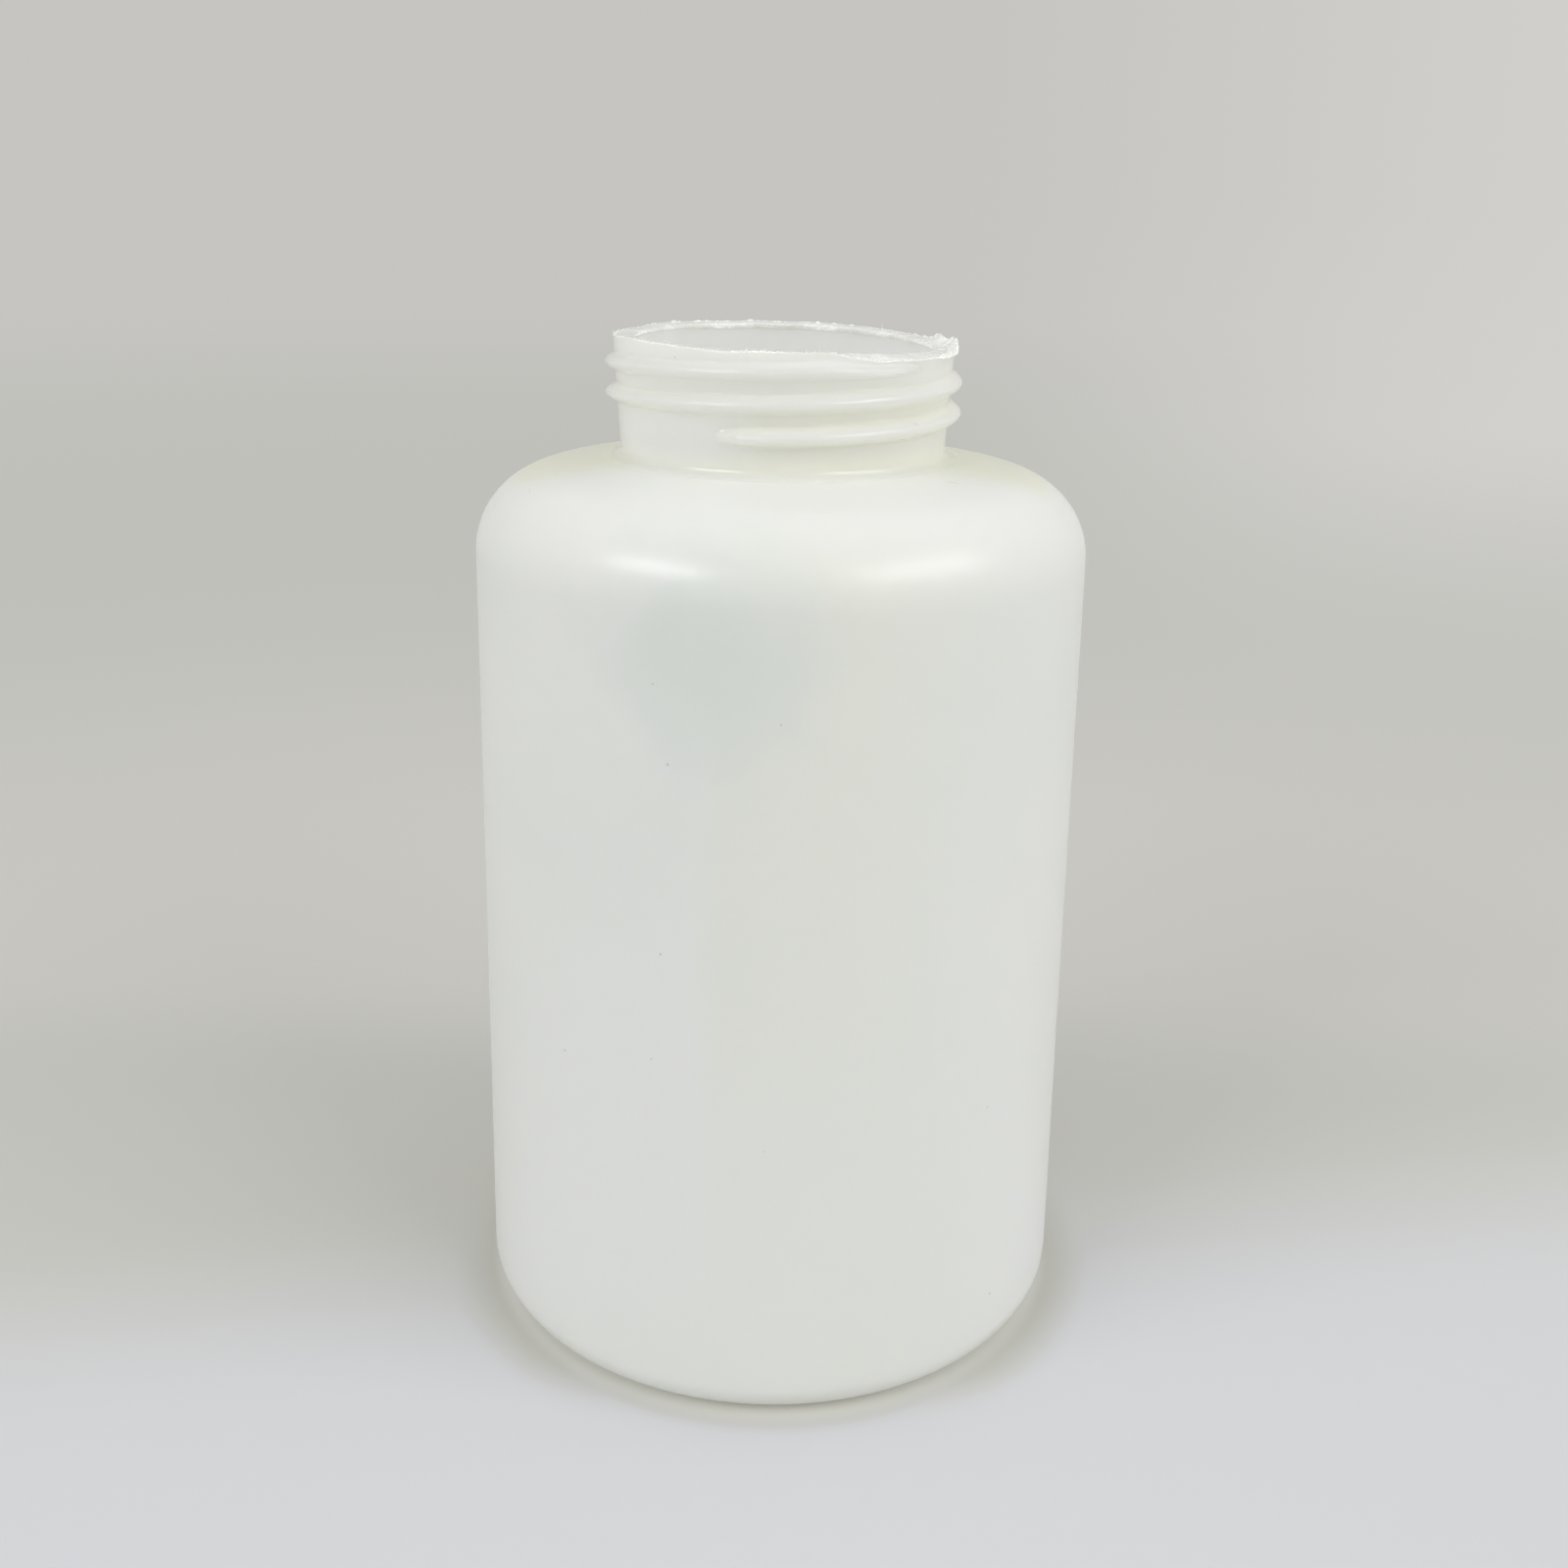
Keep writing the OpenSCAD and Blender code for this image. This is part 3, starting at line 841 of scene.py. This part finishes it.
def cutPolyethylene(look):
    # the same plastic where a knife has cut and stretched it: whitened, thin and glossier, so it sparkles
    material, tree = newMaterial("cutPolyethylene")
    source = addNode(tree, "ShaderNodeTexCoord")
    where = source.outputs["Object"]
    fibre, tear = (
        addNode(tree, "ShaderNodeTexNoise", {"Vector": where, "Scale": 1 / size, "Detail": 2.0}).outputs[0]
        for size in (look["fibreSize"], look["tearSize"]))
    tone = layTones(tree, look["cut"],
                    (look["stretched"], (fibre, *look["fibreShare"]), (tear, *look["tearShare"])))
    rough = addNode(tree, "ShaderNodeMapRange", {
        "Value": fibre, "To Min": look["roughSmooth"], "To Max": look["roughFibre"]})
    bump = addNode(tree, "ShaderNodeBump", {
        "Height": fibre, "Strength": look["fibreStrength"], "Distance": look["fibreDepth"]})
    # light carried through the plastic leaves by its undersides, so they stay pale
    up = addNode(tree, "ShaderNodeSeparateXYZ", {"Vector": source.outputs["Normal"]}).outputs["Z"]
    under = overlap(tree, (up, *look["carriedFacing"]))
    leaving = addNode(tree, "ShaderNodeMath", {0: under, 1: look["carried"]}, operation="MULTIPLY")
    skin = addNode(tree, "ShaderNodeBsdfPrincipled", {
        "Base Color": tone, "Normal": bump.outputs[0], "Roughness": rough.outputs[0], "IOR": look["ior"],
        "Emission Color": tone, "Emission Strength": leaving.outputs[0]})
    addNode(tree, "ShaderNodeOutputMaterial", {"Surface": skin.outputs[0]})
    return material


rimFray = makeFray(frayForm, bottleForm, cutPolyethylene(cutLook))
print("rim fray:", len(rimFray.data.polygons), "faces")

# places in metres: a pair is where a tone starts and where it is full
stageLook = {
    "near": "#d2d3d6",
    # painted shadow: the floor darker and warmer from the bottle backwards, where the lamps' shadows fall
    "paintedShadowBehind": "#cdccc7",
    "behindDepth": (-0.03, 0.06),
    # painted shade: a darker band across the floor, which lies a little nearer on the left
    "paintedShadeBand": "#c7c7c1",
    "dipSlant": -0.22,
    "dipFront": (-0.03, 0.025),
    "dipBack": (0.085, 0.04),
    # painted shadow: a darker, warm tone on the paper round the foot, wider except in front; and a painted
    # glow, most of all at the foot's edge, for light that comes down through the plastic
    "warm": "#c6c6c0",
    "paintedFootShadowReach": (0.0430, 0.0385),
    "paintedSideShadowReach": (0.0475, 0.0409),
    "paintedSideShadowDepth": (-0.041, -0.028),
    "paintedGlowReach": (0.0409, 0.0385),
    "paintedGlow": 0.20,
    # the backdrop's tones by distance, and on the right by the share of it that is sideways
    "middle": "#c0c0bb",
    "far": "#c6c5c1",
    "farReach": (0.6, 2.0),
    "right": "#d2d1cd",
    "rightShare": (0.05, 0.5),
    "rightReach": (0.1, 1.1),
    "backdropReach": (0.06, 0.55),
    "radius": 12.0,
    "corners": 128,
}


def makeStage(s):
    # a level disc whose paper turns, with distance from the middle, into the plain tone of the backdrop
    material, tree = newMaterial("stagePaper")
    where = addNode(tree, "ShaderNodeTexCoord").outputs["Object"]
    away = addNode(tree, "ShaderNodeVectorMath", {0: where}, operation="LENGTH").outputs["Value"]
    across, depth = addNode(tree, "ShaderNodeSeparateXYZ", {"Vector": where}).outputs[:2]
    slanted = addNode(tree, "ShaderNodeMath", {0: across, 1: s["dipSlant"], 2: depth},
                      operation="MULTIPLY_ADD").outputs[0]
    # painted shadow round the foot: narrow all round, and wider except in front
    narrow = overlap(tree, (away, *s["paintedFootShadowReach"]))
    wide = overlap(tree, (away, *s["paintedSideShadowReach"]), (depth, *s["paintedSideShadowDepth"]))
    foot = addNode(tree, "ShaderNodeMath", {0: narrow, 1: wide}, operation="MAXIMUM").outputs[0]
    tone = layTones(
        tree, s["near"],
        # painted shadow behind the bottle
        (s["paintedShadowBehind"], (depth, *s["behindDepth"])),
        # painted shade: the darker band across the floor
        (s["paintedShadeBand"], (slanted, *s["dipFront"]), (depth, *s["dipBack"])),
        (s["warm"], foot))
    diffuse = addNode(tree, "ShaderNodeBsdfDiffuse", {"Color": tone})
    # painted glow at the foot's edge: the paper glows there though no lamp is there
    fade = addNode(tree, "ShaderNodeMath", {0: overlap(tree, (away, *s["paintedGlowReach"])), 1: s["paintedGlow"]},
                   operation="MULTIPLY")
    paintedFootGlow = addNode(tree, "ShaderNodeEmission", {"Color": s["warm"], "Strength": fade.outputs[0]})
    paper = addNode(tree, "ShaderNodeAddShader", {0: diffuse.outputs[0], 1: paintedFootGlow.outputs[0]})
    sideways = addNode(tree, "ShaderNodeMath", {0: across, 1: away}, operation="DIVIDE").outputs[0]
    backdropTone = layTones(
        tree, s["middle"],
        (s["far"], (away, *s["farReach"])),
        (s["right"], (sideways, *s["rightShare"]), (away, *s["rightReach"])))
    backdrop = addNode(tree, "ShaderNodeEmission", {"Color": backdropTone, "Strength": 1.0})
    both = addNode(tree, "ShaderNodeMixShader", {
        0: overlap(tree, (away, *s["backdropReach"])), 1: paper.outputs[0], 2: backdrop.outputs[0]})
    addNode(tree, "ShaderNodeOutputMaterial", {"Surface": both.outputs[0]})
    # a fan of triangles from the middle to points round the edge
    n = s["corners"]
    t = np.radians(np.linspace(0, 360, n, endpoint=False))
    ring = np.stack([np.cos(t), np.sin(t), 0 * t], 1) * s["radius"]
    points = np.concatenate([ring, [[0, 0, 0]]]) / mm
    k = np.arange(n)
    tris = np.stack([np.full(n, n), k, (k + 1) % n], 1)
    sheet = makeMesh("stageFloor", points, np.zeros((0, 4), int), tris, material)


# a lamp's azimuth is from the camera's side to the right, and its sizes are in metres
lampLook = {
    "left": {"azimuth": -50, "elevation": 34, "distance": 1.2, "width": 0.70, "height": 0.28, "watts": 3.6},
    "right": {"azimuth": 57, "elevation": 34, "distance": 1.2, "width": 0.95, "height": 0.42, "watts": 4.05},
    "aimHeight": 0.08,
    # strength of the fill at the horizon and straight above, and what the sides add, the right one more
    "fill": "#ffffff",
    "fillLow": 0.475,
    "fillHigh": 0.745,
    "fillSide": 0.37,
    "lean": 0.06,
}


def makeLamp(name, aimHeight, azimuth, elevation, distance, width, height, watts):
    # an oblong soft lamp out from the aim point by azimuth and elevation, facing back to it
    a = math.radians(azimuth)
    e = math.radians(elevation)
    out = np.array([math.sin(a) * math.cos(e), -math.cos(a) * math.cos(e), math.sin(e)])
    data = bpy.data.lights.new(name, "AREA")
    data.shape = "RECTANGLE"
    data.size = width
    data.size_y = height
    data.energy = watts
    lamp = bpy.data.objects.new(name, data)
    lamp.location = Vector((out * distance).tolist()) + Vector((0, 0, aimHeight))
    lamp.rotation_mode = "QUATERNION"
    lamp.rotation_quaternion = Vector((-out).tolist()).to_track_quat("-Z", "Y")
    lamp.visible_camera = False
    bpy.context.scene.collection.objects.link(lamp)


def makeLight(look):
    # two soft lamps and the world's fill, which the camera and reflections see as the backdrop's tone instead
    makeLamp("lampLeft", look["aimHeight"], **look["left"])
    makeLamp("lampRight", look["aimHeight"], **look["right"])
    world = bpy.data.worlds.new("studio")
    world.use_nodes = True
    tree = world.node_tree
    tree.nodes.clear()
    path = addNode(tree, "ShaderNodeLightPath")
    seen = path.outputs["Is Camera Ray"]
    for ray in ("Is Glossy Ray", "Is Transmission Ray"):
        either = addNode(tree, "ShaderNodeMath", {0: seen, 1: path.outputs[ray]}, operation="MAXIMUM")
        seen = either.outputs[0]
    # the fill is a soft ceiling: its strength grows from the horizon to straight above
    direction = addNode(tree, "ShaderNodeTexCoord").outputs["Generated"]
    part = addNode(tree, "ShaderNodeSeparateXYZ", {"Vector": direction}).outputs
    ceiling = addNode(tree, "ShaderNodeMapRange", {
        "Value": part["Z"], "To Min": look["fillLow"], "To Max": look["fillHigh"]})
    # and pale walls stand at both sides: more by the square of the sideways share
    lean = addNode(tree, "ShaderNodeMath", {0: part["X"], 1: look["lean"]}, operation="ADD").outputs[0]
    square = addNode(tree, "ShaderNodeMath", {0: lean, 1: lean}, operation="MULTIPLY").outputs[0]
    strength = addNode(tree, "ShaderNodeMath", {0: square, 1: look["fillSide"], 2: ceiling.outputs[0]},
                       operation="MULTIPLY_ADD")
    fill = addNode(tree, "ShaderNodeBackground", {"Color": look["fill"], "Strength": strength.outputs[0]})
    tone = layTones(tree, stageLook["far"], (stageLook["right"], (part["X"], *stageLook["rightShare"])))
    shown = addNode(tree, "ShaderNodeBackground", {"Color": tone, "Strength": 1.0})
    both = addNode(tree, "ShaderNodeMixShader", {0: seen, 1: fill.outputs[0], 2: shown.outputs[0]})
    addNode(tree, "ShaderNodeOutputWorld", {"Surface": both.outputs[0]})
    bpy.context.scene.world = world
    bpy.context.scene.view_settings.view_transform = "Standard"


makeStage(stageLook)
makeLight(lampLook)
print("stage and light made")
